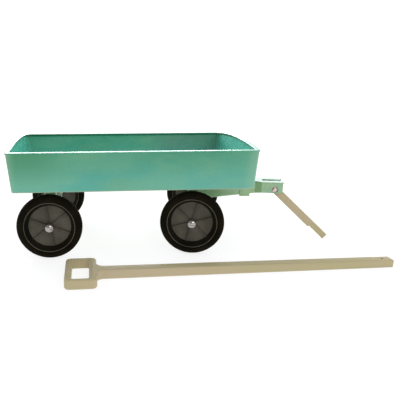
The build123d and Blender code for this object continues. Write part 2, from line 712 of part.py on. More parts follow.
def build():
    add("tub", make_tub())
    add("rear_bolster", make_rear_bolster())
    add("rear_bolster_bolts", make_rear_bolts())
    add("rear_bolster_nuts", make_rear_nuts())
    add_axle_set("rear", Location((0, 0, 0)))
    add("turntable_plate", make_turntable_plate())
    add("turntable_screws", make_turntable_screws())
    add("kingpin_bolt", make_kingpin())
    add("kingpin_washers", make_kingpin_washers())
    add("kingpin_nut", make_kingpin_nut())
    add("front_bolster", make_front_bolster(), STEER)
    add("turntable_washer", make_turntable_washer(), STEER)
    add_axle_set("front", STEER)
    add("steering_arm", make_steering_arm(), STEER)
    add("drawbar_fork", make_fork(), STEER)
    add("fork_screws", make_fork_screws(), STEER)
    add("clevis_bolt", make_clevis_bolt(), STEER)
    add("clevis_washers", make_clevis_washers(), STEER)
    add("clevis_nut", make_clevis_nut(), STEER)
    add("tongue", make_tongue(), TONGUE_AT)
    add("tongue_bush", make_tongue_bush(), TONGUE_AT)
    add("pull_handle", make_handle(), HANDLE_AT)
    for axle, place in (("rear", Location((0, 0, 0))), ("front", STEER)):
        add_wheel(f"{axle}_right", place, -1)
        add_wheel(f"{axle}_left", place, 1)


def save_parts():
    """Centre the whole set over the origin and write one STEP file per piece."""
    os.makedirs("parts", exist_ok=True)
    box = Compound(list(parts.values())).bounding_box()
    middle = box.center()
    shift = Pos(-middle.X, -middle.Y, 0)
    print(f"shift {-middle.X:.4f} {-middle.Y:.4f}  lowest {box.min.Z:.4f}  size {box.size}")
    for node, shape in parts.items():
        export_step(shift * shape, f"parts/{node}.step")


build()
save_parts()
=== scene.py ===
"""Looks of the pull-along garden cart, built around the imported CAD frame.

Pieces are drawn in millimetres in the local axes of what they belong to (the cart, the turned front
axle, the hanging tongue, the loose handle or a wheel) and then placed in the row frame in metres.
"""
import json
from math import asin, atan2, cos, hypot, pi, radians, sin, sqrt

import bmesh
import bpy
from mathutils import Matrix, Vector

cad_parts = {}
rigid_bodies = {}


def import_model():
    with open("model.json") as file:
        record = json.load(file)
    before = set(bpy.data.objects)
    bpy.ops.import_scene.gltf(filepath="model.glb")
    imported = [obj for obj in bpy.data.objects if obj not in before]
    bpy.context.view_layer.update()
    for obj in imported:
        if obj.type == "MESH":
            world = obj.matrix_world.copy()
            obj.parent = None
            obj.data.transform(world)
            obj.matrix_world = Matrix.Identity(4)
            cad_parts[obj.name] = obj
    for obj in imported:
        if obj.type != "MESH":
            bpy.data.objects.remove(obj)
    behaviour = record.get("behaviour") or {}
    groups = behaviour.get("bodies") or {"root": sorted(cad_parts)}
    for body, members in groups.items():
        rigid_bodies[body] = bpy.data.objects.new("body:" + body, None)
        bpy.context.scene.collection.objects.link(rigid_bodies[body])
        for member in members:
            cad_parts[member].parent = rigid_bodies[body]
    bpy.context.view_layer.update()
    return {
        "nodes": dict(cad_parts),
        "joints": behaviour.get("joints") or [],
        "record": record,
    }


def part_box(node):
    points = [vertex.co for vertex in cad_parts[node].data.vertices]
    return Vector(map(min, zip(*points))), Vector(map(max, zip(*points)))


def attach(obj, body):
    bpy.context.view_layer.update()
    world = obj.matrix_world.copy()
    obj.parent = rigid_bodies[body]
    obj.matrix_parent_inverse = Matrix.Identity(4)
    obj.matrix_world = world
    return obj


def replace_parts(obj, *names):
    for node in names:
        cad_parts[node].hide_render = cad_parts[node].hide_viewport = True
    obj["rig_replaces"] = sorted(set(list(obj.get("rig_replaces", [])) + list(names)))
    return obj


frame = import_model()

# ---- places, all from the frame ----
MM = Matrix.Scale(0.001, 4)
JOINTS = {joint["name"]: joint for joint in frame["joints"]}


def middle(node):
    low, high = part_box(node)
    return (low + high) / 2


rear_middle = middle("rear_axle")
kingpin = middle("kingpin_bolt")
across = -Vector(JOINTS["tongue_lift"]["axis"])     # along the clevis bolt, towards the cart's left
steer_turn = atan2(-across.x, across.y)
pivot = Vector(JOINTS["tongue_lift"]["pos_m"])
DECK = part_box("tub")[0].z * 1000                    # the tub's underside

CART = Matrix.Translation((rear_middle.x, rear_middle.y, 0)) @ MM
STEER = Matrix.Translation((kingpin.x, kingpin.y, 0)) @ Matrix.Rotation(steer_turn, 4, "Z") @ MM

# ---- sizes in millimetres, as in the CAD source ----
AXLE_Z = rear_middle.z * 1000
TRACK, WHEELBASE = 314.0, 392.0
BOLSTER_W = 26.5
PIVOT_S = 221.0
PIVOT_Z = pivot.z * 1000
GAP, TONGUE_REST = 0.3, 1.5                         # beside the tongue, and under its tip
TONGUE_LENGTH, TONGUE_H, TONGUE_W = 200.7, 20.0, 20.0
SPIGOT_LENGTH, SPIGOT_STEP, SPIGOT_CHEEK = 56.0, 4.2, 1.2
TIP_LOW = TONGUE_H / 2 - SPIGOT_STEP
TONGUE_DROP = asin((PIVOT_Z - TONGUE_REST) / hypot(TONGUE_LENGTH, TIP_LOW)) - atan2(
    TIP_LOW, TONGUE_LENGTH
)
TONGUE = (
    Matrix.Translation(pivot)
    @ Matrix.Rotation(steer_turn, 4, "Z")
    @ Matrix.Rotation(TONGUE_DROP, 4, "Y")
    @ MM
)

HANDLE_TURN = radians(0.7)
HANDLE_LENGTH, HANDLE_W, HANDLE_H = 775.0, 26.5, 22.0
HANDLE_END_W, HANDLE_END_H = 24.0, 19.6
GRIP_LENGTH, GRIP_WIDTH, GRIP_H, GRIP_CORNER = 71.5, 124.0, 23.0, 12.0
PAD_LENGTH, PAD_DEPTH = 42.0, 1.0
SOCKET_DEPTH, SNAP_SETBACK, SNAP_R = 58.0, 22.0, 3.0

HANDLE_X, HANDLE_Y = 42.0, -287.6                   # outer end of the grip, in the cart's axes
HANDLE = CART @ Matrix.Translation((HANDLE_X, HANDLE_Y, 0)) @ Matrix.Rotation(HANDLE_TURN, 4, "Z")


# ---- mesh helpers: points and sizes in millimetres ----
def arc(cx, cy, radius, start, end, steps):
    """Points on an arc, angles in degrees."""
    angles = [radians(start + (end - start) * i / steps) for i in range(steps + 1)]
    return [(cx + radius * cos(a), cy + radius * sin(a)) for a in angles]


def rounded(points, steps):
    """A closed outline of (x, y, radius) corners as plain points, with an arc at each corner."""
    out = []
    count = len(points)
    for i, (x, y, radius) in enumerate(points):
        here = Vector((x, y))
        before = (Vector(points[i - 1][:2]) - here).normalized()
        after = (Vector(points[(i + 1) % count][:2]) - here).normalized()
        if radius <= 0:
            out.append((x, y))
            continue
        half = before.angle(after) / 2
        centre = here + (before + after).normalized() * (radius / sin(half))
        reach = radius / (sin(half) / cos(half))
        first = here + before * reach - centre
        turn = first.angle_signed(here + after * reach - centre)
        for k in range(steps + 1):
            rotated = Matrix.Rotation(-turn * k / steps, 2) @ first
            out.append(tuple(centre + rotated))
    return out


def loop_faces(bm, loops, closed=False):
    """Quads between loops of vertices, each loop closed on itself."""
    pairs = list(zip(loops, loops[1:]))
    if closed:
        pairs.append((loops[-1], loops[0]))
    for low, high in pairs:
        count = len(low)
        for i in range(count):
            j = (i + 1) % count
            bm.faces.new((low[i], low[j], high[j], high[i]))


def loft(bm, rings, closed=False, caps=True):
    """Lofts rings of points with equal counts, and caps the two ends."""
    loops = [[bm.verts.new(p) for p in ring] for ring in rings]
    loop_faces(bm, loops, closed)
    if caps and not closed:
        bm.faces.new(loops[0][::-1])
        bm.faces.new(loops[-1])
    return loops


def lathe(bm, profile, turns=128):
    """A closed (radius, y) outline turned about the Y axis."""
    rings = []
    for i in range(turns):
        a = 2 * pi * i / turns
        rings.append([(r * cos(a), y, r * sin(a)) for r, y in profile])
    loft(bm, rings, closed=True)


def spindle(bm, profile, turns, place):
    """An open (radius, z) outline turned about Z and capped at both ends: a solid knob."""
    loft(bm, [ring_about_z(place, r, z, turns=turns) for r, z in profile])


def ring_about_z(place, radius, z, six=False, turns=48):
    """A circle, or a hexagon with that radius between its flats, about the Z axis."""
    points = []
    for i in range(turns):
        a = 2 * pi * i / turns
        r = radius / cos((a + pi / 6) % (pi / 3) - pi / 6) if six else radius
        points.append(place @ Vector((r * cos(a), r * sin(a), z)))
    return points


def prism(bm, outline, low, high, axis="Y"):
    """An extruded outline: (x, z) points along Y, or (x, y) points along Z."""
    def put(a, b, c):
        return (a, c, b) if axis == "Y" else (a, b, c)

    loft(bm, [[put(a, b, low) for a, b in outline], [put(a, b, high) for a, b in outline]])


def block(bm, x0, x1, y0, y1, z0, z1):
    prism(bm, [(x0, y0), (x1, y0), (x1, y1), (x0, y1)], z0, z1, "Z")


def make_object(name, build, place):
    """A mesh object from a function that draws into a bmesh, placed and turned into metres."""
    bm = bmesh.new()
    build(bm)
    bmesh.ops.recalc_face_normals(bm, faces=bm.faces)
    bm.transform(place)
    mesh = bpy.data.meshes.new(name)
    bm.to_mesh(mesh)
    bm.free()
    obj = bpy.data.objects.new(name, mesh)
    bpy.context.scene.collection.objects.link(obj)
    return obj


def settle(obj):
    """Applies the modifiers to the mesh."""
    graph = bpy.context.evaluated_depsgraph_get()
    mesh = bpy.data.meshes.new_from_object(obj.evaluated_get(graph), depsgraph=graph)
    obj.modifiers.clear()
    obj.data = mesh


def combine(obj, others, operation):
    """A boolean of obj with helper objects, which are removed afterwards."""
    for other in others:
        step = obj.modifiers.new("combine", "BOOLEAN")
        step.operation = operation
        step.solver = "EXACT"
        step.object = other
    settle(obj)
    for other in others:
        bpy.data.objects.remove(other)
    return obj


def smooth(obj, angle=35):
    """Smooth shading with sharp edges above an angle."""
    mesh = obj.data
    mesh.shade_smooth()
    mesh.set_sharp_from_angle(angle=radians(angle))
    return obj


def add_bevel(obj, width, segments=3, angle=30):
    """A bevel on every edge that turns by more than the angle, width in millimetres."""
    step = obj.modifiers.new("soften", "BEVEL")
    step.width = width / 1000
    step.segments = segments
    step.limit_method = "ANGLE"
    step.angle_limit = radians(angle)
    step.miter_outer = "MITER_ARC"


def soften(obj, width, segments=3, angle=30):
    """Rounds the edges for good and shades the piece smooth across them."""
    add_bevel(obj, width, segments, angle)
    settle(obj)
    return smooth(obj, angle + 2)


def cut(obj, place, *cutters):
    """Cuts away what the drawing functions make, in the same axes as the piece."""
    others = [make_object("cutter", build, place) for build in cutters]
    return combine(obj, others, "DIFFERENCE")


def cylinder(radius, low, high, axis="Y", at=(0, 0), turns=48):
    """A drawing function for a round bore or bar."""
    outline = arc(*at, radius, 0, 360 - 360 / turns, turns - 1)
    return lambda bm: prism(bm, outline, low, high, axis)


def slab(*limits):
    """A drawing function for a block."""
    return lambda bm: block(bm, *limits)


def finish_piece(obj, body, material, slot, *nodes):
    """Material, body and the CAD nodes that the piece stands for; slot is not used."""
    obj.data.materials.clear()
    obj.data.materials.append(material)
    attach(obj, body)
    if nodes:
        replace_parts(obj, *nodes)
    return obj


def two_looks(obj, body, first, second, slot, *nodes):
    """As finish_piece, with a second material on the faces drawn with index 1."""
    marks = [face.material_index for face in obj.data.polygons]
    finish_piece(obj, body, first, slot, *nodes)
    obj.data.materials.append(second)
    obj.data.polygons.foreach_set("material_index", marks)


# ---- material helpers ----
class Shader:
    """A small builder around one material's node tree."""

    def __init__(self, name, **sockets):
        self.material = bpy.data.materials.new(name)
        self.material.use_nodes = True
        self.tree = self.material.node_tree
        self.bsdf = self.tree.nodes["Principled BSDF"]
        for socket, value in sockets.items():
            self.bsdf.inputs[socket.replace("_", " ")].default_value = value
        coordinate = self.tree.nodes.new("ShaderNodeTexCoord")
        self.point = coordinate.outputs["Object"]
        self.height = None

    def node(self, kind, inputs=None, **settings):
        made = self.tree.nodes.new(kind)
        for key, value in settings.items():
            setattr(made, key, value)
        for key, value in (inputs or {}).items():
            if isinstance(value, bpy.types.NodeSocket):
                self.tree.links.new(value, made.inputs[key])
            else:
                made.inputs[key].default_value = value
        return made

    def stretched(self, scale, turn=(0, 0, 0)):
        """The object's coordinates scaled and turned, for streaks and grain."""
        inputs = {"Vector": self.point, "Scale": scale, "Rotation": turn}
        return self.node("ShaderNodeMapping", inputs).outputs["Vector"]

    def noise(self, scale, detail, roughness=0.55, point=None):
        inputs = {
            "Vector": point or self.point, "Scale": scale, "Detail": detail, "Roughness": roughness,
        }
        return self.node("ShaderNodeTexNoise", inputs).outputs["Fac"]

    def remap(self, value, low, high, to_low=0.0, to_high=1.0):
        """Eases a value from one range to another."""
        inputs = {
            "Value": value, "From Min": low, "From Max": high, "To Min": to_low, "To Max": to_high,
        }
        made = self.node("ShaderNodeMapRange", inputs, interpolation_type="SMOOTHSTEP")
        return made.outputs["Result"]

    def mix(self, factor, first, second, blend="MIX"):
        """Mixes two colours, each a socket or an (r, g, b) triple."""
        made = self.tree.nodes.new("ShaderNodeMix")
        made.data_type = "RGBA"
        made.blend_type = blend
        for index, value in ((0, factor), (6, first), (7, second)):
            if isinstance(value, bpy.types.NodeSocket):
                self.tree.links.new(value, made.inputs[index])
            else:
                made.inputs[index].default_value = value if index == 0 else (*value, 1.0)
        return made.outputs[2]

    def math(self, operation, first, second=0.0):
        made = self.node("ShaderNodeMath", {0: first, 1: second}, operation=operation)
        return made.outputs[0]

    def axis(self, name):
        """A component of the place, in metres."""
        made = self.node("ShaderNodeSeparateXYZ", {"Vector": self.point})
        return made.outputs[name]

    def facing(self, name):
        """A component of the true surface normal in the object's axes."""
        normal = self.node("ShaderNodeTexCoord").outputs["Normal"]
        made = self.node("ShaderNodeSeparateXYZ", {"Vector": normal})
        return made.outputs[name]

    def paint_top_highlight(self, base, amount, colour):
        """A painted highlight: a paler colour on the faces that look up, where the light falls."""
        return self.mix(self.remap(self.facing("Z"), 0.75, 0.97, 0, amount), base, colour)

    def bump(self, height, distance_mm, strength):
        inputs = {"Height": height, "Strength": strength, "Distance": distance_mm / 1000}
        if self.height is not None:
            inputs["Normal"] = self.height
        made = self.node("ShaderNodeBump", inputs)
        self.height = made.outputs["Normal"]
        self.link(self.height, "Normal")

    def link(self, value, socket):
        self.tree.links.new(value, self.bsdf.inputs[socket])


def sRGB(red, green, blue):
    """An 8-bit display colour as scene-linear values."""
    def linear(c):
        c = c / 255
        return c / 12.92 if c <= 0.04045 else ((c + 0.055) / 1.055) ** 2.4

    return tuple(linear(c) for c in (red, green, blue))


# ---- materials ----
BOTTOM = DECK / 1000
CORNER_X, INNER_SHADE_X = (-0.28, -0.40), (-0.12, 0.02)    # where the tub's colours change, in metres
REAR_END_X, FRONT_END_X = (-0.43, -0.455), (0.11, 0.15)
# the lower greens are paler and tealer: painted light from the glowing floor below
FLOOR_GLOW_LOW_GREENS = sRGB(70, 158, 144), sRGB(92, 162, 138)
TUB_HIGH_GREENS = sRGB(50, 134, 104), sRGB(66, 143, 114)
# the paler end colour is a painted highlight on the tub's end corners
UPPER_REAR_GREEN, END_CORNER_HIGHLIGHT = sRGB(44, 124, 80), sRGB(150, 182, 154)
# the last colour, on the tub's faces that look up, is a painted highlight
WARM_GREEN, RUBBED, PALE_HEM, TUB_TOP_HIGHLIGHT = (
    sRGB(92, 152, 112), sRGB(150, 212, 192), sRGB(150, 158, 130), sRGB(178, 238, 224),
)
# painted light and shade of the tub's inside: a grey painted shade, a teal painted light for the
# end walls and a gain of painted light on the walls
INNER_SHADE_GREY, END_WALL_LIGHT_TEAL, INNER_LIGHT_GAIN = sRGB(96, 112, 104), sRGB(76, 176, 158), (1.75, 1.5, 1.6)


def outer_shades(s, base, height):
    """A darker green in the upper rear corner, and a paler one towards both ends: a painted
    highlight where the end corners catch the light.
    """
    corner = s.math("MULTIPLY", height, s.remap(s.axis("X"), *CORNER_X, 0, 0.7))
    base = s.mix(corner, base, UPPER_REAR_GREEN)
    rear_end = s.remap(s.axis("X"), *REAR_END_X)
    ends = s.math("ADD", rear_end, s.remap(s.axis("X"), *FRONT_END_X))
    return s.mix(s.math("MULTIPLY", ends, 0.35), base, END_CORNER_HIGHLIGHT)


def inner_shades(s, base):
    """Painted light and shade inside: a greyer painted shade towards the front, a paler teal
    painted light on the end walls, and painted light on the walls above the floor, less of it near
    the floor.
    """
    base = s.mix(s.remap(s.axis("X"), *INNER_SHADE_X, 0, 0.35), base, INNER_SHADE_GREY)
    end_walls = s.math("ABSOLUTE", s.facing("X"))
    base = s.mix(s.remap(end_walls, 0.5, 0.9, 0, 0.6), base, END_WALL_LIGHT_TEAL)
    walls = s.remap(s.axis("Z"), BOTTOM + 0.004, BOTTOM + 0.04, 0.3, 1)
    return s.mix(walls, base, INNER_LIGHT_GAIN, "MULTIPLY")


def tub_plastic(name, inside=False):
    """Satin green, painted paler and tealer towards the floor as light from the glowing floor, with
    faint clouds, rubbed streaks and a paler beige band along the bottom edge.
    """
    s = Shader(name, IOR=1.5)
    height = s.remap(s.axis("Z"), BOTTOM, BOTTOM + 0.1)
    cloud = s.remap(s.noise(4.5, 2.0, point=s.stretched((1, 1, 2.5))), 0.38, 0.62)
    base = s.mix(height, s.mix(cloud, *FLOOR_GLOW_LOW_GREENS), s.mix(cloud, *TUB_HIGH_GREENS))
    if not inside:
        base = outer_shades(s, base, height)
    warm = s.remap(s.noise(7, 2.0, point=s.stretched((1, 1, 3))), 0.52, 0.72, 0, 0.4)
    base = s.mix(warm, base, WARM_GREEN)
    streaks = s.noise(60, 4.0, 0.6, point=s.stretched((0.12, 0.12, 1.0), (0.35, 0.2, 0.1)))
    base = s.mix(s.remap(streaks, 0.66, 0.80, 0, 0.3), base, RUBBED)
    # a paler beige band along the bottom edge
    hem = s.remap(s.axis("Z"), BOTTOM + 0.0005, BOTTOM + 0.0045, 0.7, 0)
    base = s.mix(hem, base, PALE_HEM)
    # outside, a painted highlight on the faces that look up; inside, the painted light and shade of
    # inner_shades
    base = inner_shades(s, base) if inside else s.paint_top_highlight(base, 0.7, TUB_TOP_HIGHLIGHT)
    s.link(base, "Base Color")
    s.link(s.remap(s.noise(35, 4.0, 0.6), 0.3, 0.7, 0.22, 0.34), "Roughness")
    s.bump(s.noise(9, 1.0, point=s.stretched((1, 1, 0.5))), 0.9, 0.6)
    s.bump(s.noise(900, 2.0), 0.02, 0.4)
    return s.material


def cloudy(name, colours, cloud, rough, grain, stretch=None, highlight_on_top=None, **sockets):
    """Two colours that drift into each other, unevenly rough and finely grained.

    cloud is (scale, detail, from, to) of the drift, rough is (scale, detail, lowest, highest) and
    grain is (scale, detail, depth in millimetres, strength).
    """
    s = Shader(name, **sockets)
    scale, detail, low, high = cloud
    point = s.stretched(stretch) if stretch else None
    base = s.mix(s.remap(s.noise(scale, detail, point=point), low, high), *colours)
    # a painted highlight on the faces that look up
    if highlight_on_top:
        base = s.paint_top_highlight(base, *highlight_on_top)
    s.link(base, "Base Color")
    scale, detail, low, high = rough
    s.link(s.remap(s.noise(scale, detail), 0.3, 0.7, low, high), "Roughness")
    scale, detail, depth, strength = grain
    s.bump(s.noise(scale, detail), depth, strength)
    return s.material


def wheel_plastic(name, dull, dusty, shine):
    """Dark grey-brown plastic with a dusty bloom."""
    return cloudy(
        name, (dull, dusty), (22, 4.0, 0.35, 0.68), (90, 4.0, 0.42, 0.58), (1300, 3.0, 0.03, 0.7),
        IOR=1.46, Specular_IOR_Level=shine,
    )


def metal(name, colour, low, high):
    shade = tuple(c * 0.86 for c in colour)
    return cloudy(
        name, (colour, shade), (60, 3.0, 0.35, 0.65), (150, 4.0, low, high),
        (400, 2.0, 0.01, 0.4), Metallic=1.0,
    )


MATERIALS = {
    "tub_plastic": tub_plastic("tub_plastic"),
    # a duller, yellower green for the drawbar and the bolsters, with a near-white painted highlight
    # on the faces that look up
    "chassis_plastic": cloudy(
        "chassis_plastic", (sRGB(134, 168, 122), sRGB(124, 164, 130)), (14, 3.0, 0.35, 0.65),
        (60, 4.0, 0.24, 0.36), (900, 2.0, 0.02, 0.5), highlight_on_top=(0.9, sRGB(216, 244, 236)),
        IOR=1.5, Coat_Weight=0.7, Coat_Roughness=0.12,
    ),
    # a beige moulding, slightly olive in places
    "handle_plastic": cloudy(
        "handle_plastic", (sRGB(177, 163, 134), sRGB(170, 161, 124)), (11, 3.0, 0.38, 0.64),
        (70, 4.0, 0.4, 0.55), (1100, 2.0, 0.02, 0.6), stretch=(0.35, 1, 1),
        IOR=1.46, Specular_IOR_Level=0.12,
    ),
    "wheel_plastic": wheel_plastic("wheel_plastic", sRGB(66, 62, 52), sRGB(82, 78, 68), 0.2),
    # soft black rubber that hardly shines
    "tyre_rubber": cloudy(
        "tyre_rubber", (sRGB(18, 15, 9), sRGB(25, 21, 14)), (30, 4.0, 0.4, 0.7),
        (120, 4.0, 0.5, 0.7), (1500, 3.0, 0.04, 0.7), IOR=1.3, Specular_IOR_Level=0.03,
    ),
    "chrome_caps": metal("chrome_caps", (0.36, 0.33, 0.32), 0.08, 0.2),
    "zinc_steel": metal("zinc_steel", (0.62, 0.60, 0.57), 0.28, 0.42),
    "nylon": cloudy(
        "nylon", (sRGB(222, 220, 208), sRGB(208, 205, 192)), (40, 3.0, 0.4, 0.7),
        (90, 3.0, 0.4, 0.55), (800, 2.0, 0.02, 0.5), IOR=1.53,
    ),
}
# a darker copy of the wheel plastic: painted shade in the barrel's recess
barrel_painted_shade = wheel_plastic("barrel_painted_shade", sRGB(20, 18, 12), sRGB(28, 25, 18), 0.06)
# a copy of the tub plastic with painted light and shade, for the inner faces
tub_inside_lit = tub_plastic("tub_inside_lit", True)
copper_steel = metal("copper_steel", sRGB(222, 200, 190), 0.32, 0.45)


# ---- the tub ----
FLARE_BACK, FLARE_FRONT, FLARE_SIDE = 8.0, 5.2, 6.8
FLANGE, WALL, RIM_THICK, LEDGE, FLOOR_T = 1.4, 3.2, 3.6, 10.5, 4.0
RIM_RISE = 12.3
BOSS_H, BOSS_ROOT = 1.0, 1.0                        # the floor's bosses, over and in the floor
REAR_BOSS_R, SCREW_BOSS_R, PIN_BOSS_R = 9.0, 6.2, 17.0
CORNER_STEPS, LONG_STEPS, SHORT_STEPS, INNER_RINGS = 8, 64, 40, 16


class TubSkin:
    """Rounded rectangular rings from under the tub's floor, over the rim and down the inside."""

    def __init__(self):
        low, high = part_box("tub")
        self.back = (low.x - rear_middle.x) * 1000
        self.front = (high.x - rear_middle.x) * 1000
        self.half = (high.y - low.y) * 500
        self.floor = low.z * 1000
        self.peak = high.z * 1000
        self.rim = self.peak - RIM_RISE
        self.arc_r = (self.half**2 + RIM_RISE**2) / (2 * RIM_RISE)

    def top(self, y):
        """Height of the arched rim at a distance from the mid-plane."""
        reach = min(abs(y), self.half)
        return self.peak - self.arc_r + sqrt(self.arc_r**2 - reach**2)

    def corners(self, inset, radius):
        """Each corner's arc on the level outline, and the way its walls lean inwards."""
        sides = ((1, 1, 0), (-1, 1, 90), (-1, -1, 180), (1, -1, 270))
        for sx, sy, start in sides:
            end = self.front if sx > 0 else self.back
            cx = end - sx * (inset + radius)
            cy = sy * (self.half - inset - radius)
            lean = Vector((-sx * (FLARE_FRONT if sx > 0 else FLARE_BACK), -sy * FLARE_SIDE))
            yield [Vector(p) for p in arc(cx, cy, radius, start, start + 90, CORNER_STEPS)], lean

    def ring(self, inset, lean, radius, height):
        """One ring: height makes z of the rim's local top, and lean is 1 where it has the slope."""
        stations = []
        corners = list(self.corners(inset, radius))
        for k, (points, way) in enumerate(corners):
            stations += [(point, way) for point in points]
            after, next_way = corners[(k + 1) % 4]
            steps = SHORT_STEPS if k % 2 else LONG_STEPS
            for i in range(1, steps):
                share = i / steps
                stations.append((points[-1].lerp(after[0], share), way.lerp(next_way, share)))
        out = []
        for point, way in stations:
            z = height(self.top(point.y))
            part = lean * (self.rim - z) / (self.rim - self.floor)
            out.append((point.x + way.x * part, point.y + way.y * part, z))
        return out

    def levels(self):
        """(inset, lean, corner radius, height) of every ring."""
        floor, inner = self.floor, FLANGE + WALL

        def from_top(drop):
            return lambda top: top - drop

        def from_floor(up):
            return lambda top: floor + up

        def between(share, low_cut, high_cut):
            return lambda top: floor + low_cut + (top - high_cut - floor - low_cut) * share

        skin = [
            (FLANGE + 3.2, 1, 4.5, from_floor(0)), (FLANGE + 1.6, 1, 5.6, from_floor(0.25)),
            (FLANGE + 0.55, 1, 6.5, from_floor(1.0)), (FLANGE + 0.1, 1, 7.0, from_floor(2.2)),
        ]
        skin += [(FLANGE, 1, 7.0, between(i / 10, 4.0, RIM_THICK + 3)) for i in range(11)]
        skin += [
            (FLANGE, 1, 7.0, from_top(RIM_THICK + 1.6)),
            (FLANGE - 0.25, 1, 7.2, from_top(RIM_THICK + 0.7)),
            (0.75, 0, 7.4, from_top(RIM_THICK + 0.12)), (0.3, 0, 7.7, from_top(RIM_THICK - 0.1)),
            (0.05, 0, 8.0, from_top(RIM_THICK - 0.6)), (0.0, 0, 8.0, from_top(1.5)),
            (0.1, 0, 8.0, from_top(0.7)), (0.55, 0, 7.5, from_top(0.15)),
            (1.4, 0, 6.9, from_top(0.0)), (LEDGE / 2, 0, 5.6, from_top(0.0)),
            (LEDGE - 1.6, 0, 4.8, from_top(0.05)), (LEDGE - 0.5, 0, 4.6, from_top(0.3)),
            (LEDGE, 0, 4.6, from_top(1.1)), (LEDGE - 0.1, 0, 4.6, from_top(RIM_THICK - 0.8)),
            (LEDGE - 0.8, 0, 4.6, from_top(RIM_THICK - 0.2)),
            (inner + 1.6, 1, 4.8, from_top(RIM_THICK + 0.4)),
            (inner + 0.3, 1, 5.0, from_top(RIM_THICK + 1.8)),
        ]
        skin += [
            (inner, 1, 5.0, between(1 - i / 10, FLOOR_T + 6, RIM_THICK + 4)) for i in range(11)
        ]
        for i in range(1, 6):
            a = radians(90 * i / 5)
            skin.append((inner + 5 * (1 - cos(a)), 1, 5.0, from_floor(FLOOR_T + 5 * (1 - sin(a)))))
        return skin

    def draw(self, bm):
        """The skin, its inner faces marked with index 1, and the bosses on the floor."""
        loops = loft(bm, [self.ring(*level) for level in self.levels()])
        inside = {vert for loop in loops[-INNER_RINGS:] for vert in loop}
        for face in bm.faces:
            face.material_index = int(all(vert in inside for vert in face.verts))
        tall = BOSS_ROOT + BOSS_H
        for x, y, r in floor_bosses():
            place = Matrix.Translation((x, y, self.floor + FLOOR_T - BOSS_ROOT))
            profile = [(r, 0), (r, tall - 0.4), (r - 0.15, tall - 0.1), (r - 0.5, tall)]
            spindle(bm, profile, 48, place)


def floor_bosses():
    """Centre and radius of the raised pads under the bolt heads in the tub."""
    rear = [(x, y, REAR_BOSS_R) for x, y in REAR_BOLTS]
    screws = [(x, y, SCREW_BOSS_R) for x, y in TURNTABLE_SCREWS]
    return [*rear, *screws, (WHEELBASE, 0, PIN_BOSS_R)]


def add_tub():
    tub = make_object("tub_shell", TubSkin().draw, CART)
    smooth(tub, 60)
    # the inner faces, index 1, take the copy with painted light and shade
    two_looks(tub, "cart", MATERIALS["tub_plastic"], tub_inside_lit, "tub_plastic", "tub")


# ---- wheels ----
WHEEL_R, WHEEL_HALF = 81.0, 17.0
BEAD_R, SEAT_R, BEAD_HALF = 63.6, 60.0, 13.2
WEB_R, WEB_SHIFT, HALF_WEB, HUB_R, BUSH_R = 52.3, 6.0, 1.9, 9.6, 6.5
RIBS, RIB_HALF, RIB_T = 6, 7.5, 2.4
HUB_HALF = WHEEL_HALF - 2
CROWN_HALF, SHOULDER = 2.5, 12.5                    # the tyre's flat crown and its round shoulder
RING_W = 1.6                                        # the bead ring, which is left out of the barrel's painted shade
SPINS = {"rear_right": 21.0, "rear_left": 35.0, "front_right": -15.5, "front_left": 11.0}


def tyre_mesh(bm):
    """A soft tyre: flat crown, round shoulders, a fine moulding line and a bead lip."""
    half = [(WHEEL_R, 0.0), (WHEEL_R, 1.2), (WHEEL_R - 0.02, CROWN_HALF)]
    for i in range(1, 11):
        a = radians(90 * i / 11)
        out = CROWN_HALF + (WHEEL_HALF - CROWN_HALF) * sin(a)
        half.append((WHEEL_R - SHOULDER * (1 - cos(a)), out))
    half += [
        (WHEEL_R - 12.8, WHEEL_HALF), (WHEEL_R - 14.6, WHEEL_HALF - 0.45),
        (WHEEL_R - 15.1, WHEEL_HALF - 0.9), (WHEEL_R - 15.6, WHEEL_HALF - 1.3),
        (BEAD_R + 1.1, BEAD_HALF + 0.9), (BEAD_R + 0.5, BEAD_HALF + 0.35),
        (BEAD_R + 0.05, BEAD_HALF - 0.4), (BEAD_R + 0.05, BEAD_HALF - 2.4),
        (SEAT_R + 0.05, BEAD_HALF - 2.6),
    ]
    other = [(r, -y) for r, y in half[1:]]
    lathe(bm, half + other[::-1])


def disc_outline(web):
    """The wheel disc's section: hub, recessed web, conical barrel and bead rings."""
    def flank(sign):
        level = web + sign * HALF_WEB
        bead = sign * BEAD_HALF
        end = sign * HUB_HALF
        return [
            (BUSH_R + 0.6, end), (HUB_R - 0.7, end), (HUB_R, end - sign * 0.7),
            (HUB_R, level + sign * 1.6), (HUB_R + 0.5, level + sign * 0.5),
            (HUB_R + 1.6, level), (WEB_R - 1.8, level), (WEB_R - 0.5, level + sign * 0.35),
            (WEB_R + 0.3, level + sign * 1.4), (BEAD_R - 3.1, bead - sign * 1.6),
            (BEAD_R - 2.6, bead - sign * 0.5), (BEAD_R - 2.0, bead), (BEAD_R - 0.6, bead),
            (BEAD_R - 0.1, bead - sign * 0.5), (BEAD_R, bead - sign * 1.2),
            (BEAD_R, bead - sign * 2.5), (SEAT_R, bead - sign * 2.5),
        ]

    return (
        [(BUSH_R, HUB_HALF - 0.6)] + flank(1) + flank(-1)[::-1] + [(BUSH_R, -HUB_HALF + 0.6)]
    )


